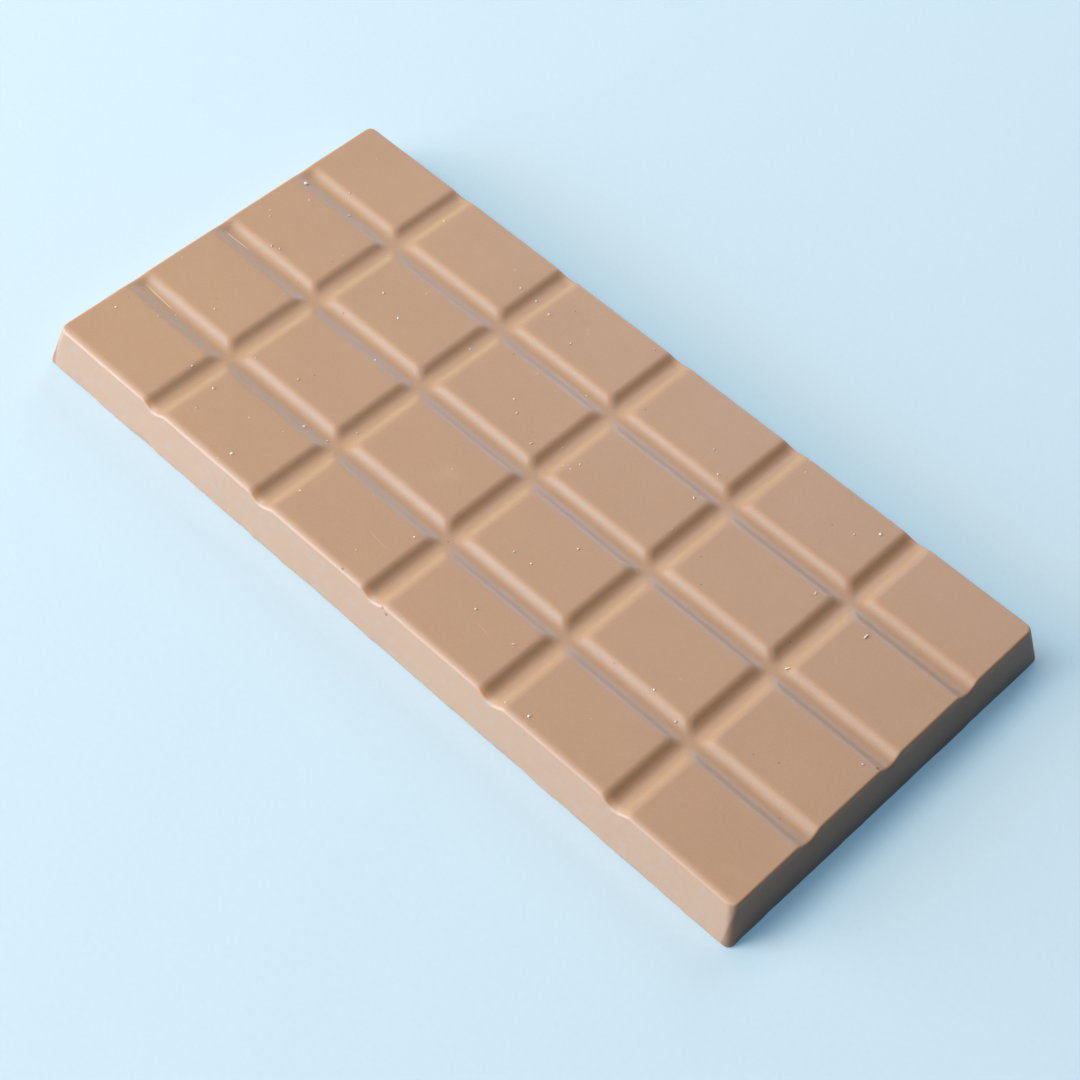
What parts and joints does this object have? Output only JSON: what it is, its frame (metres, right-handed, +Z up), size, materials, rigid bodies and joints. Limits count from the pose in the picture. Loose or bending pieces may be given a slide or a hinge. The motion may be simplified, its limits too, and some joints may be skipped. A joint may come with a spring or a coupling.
{
  "type": "chocolate bar",
  "caption": "Flat moulded bar of milk chocolate with drafted walls, scored by rounded troughs into a grid of squares for snapping off.",
  "frame": {"origin": "middle of the flat underside, at the level of the surface the bar lies on", "axes": "+X along the bar, +Y across it, +Z up out of the squares"},
  "size_m": [0.149, 0.0722, 0.008],
  "materials": {
    "milk_chocolate": "satin milk chocolate, smooth from the mould"
  },
  "bodies": {
    "root": {"chocolate_bar": "milk_chocolate"}
  },
  "joints": []
}
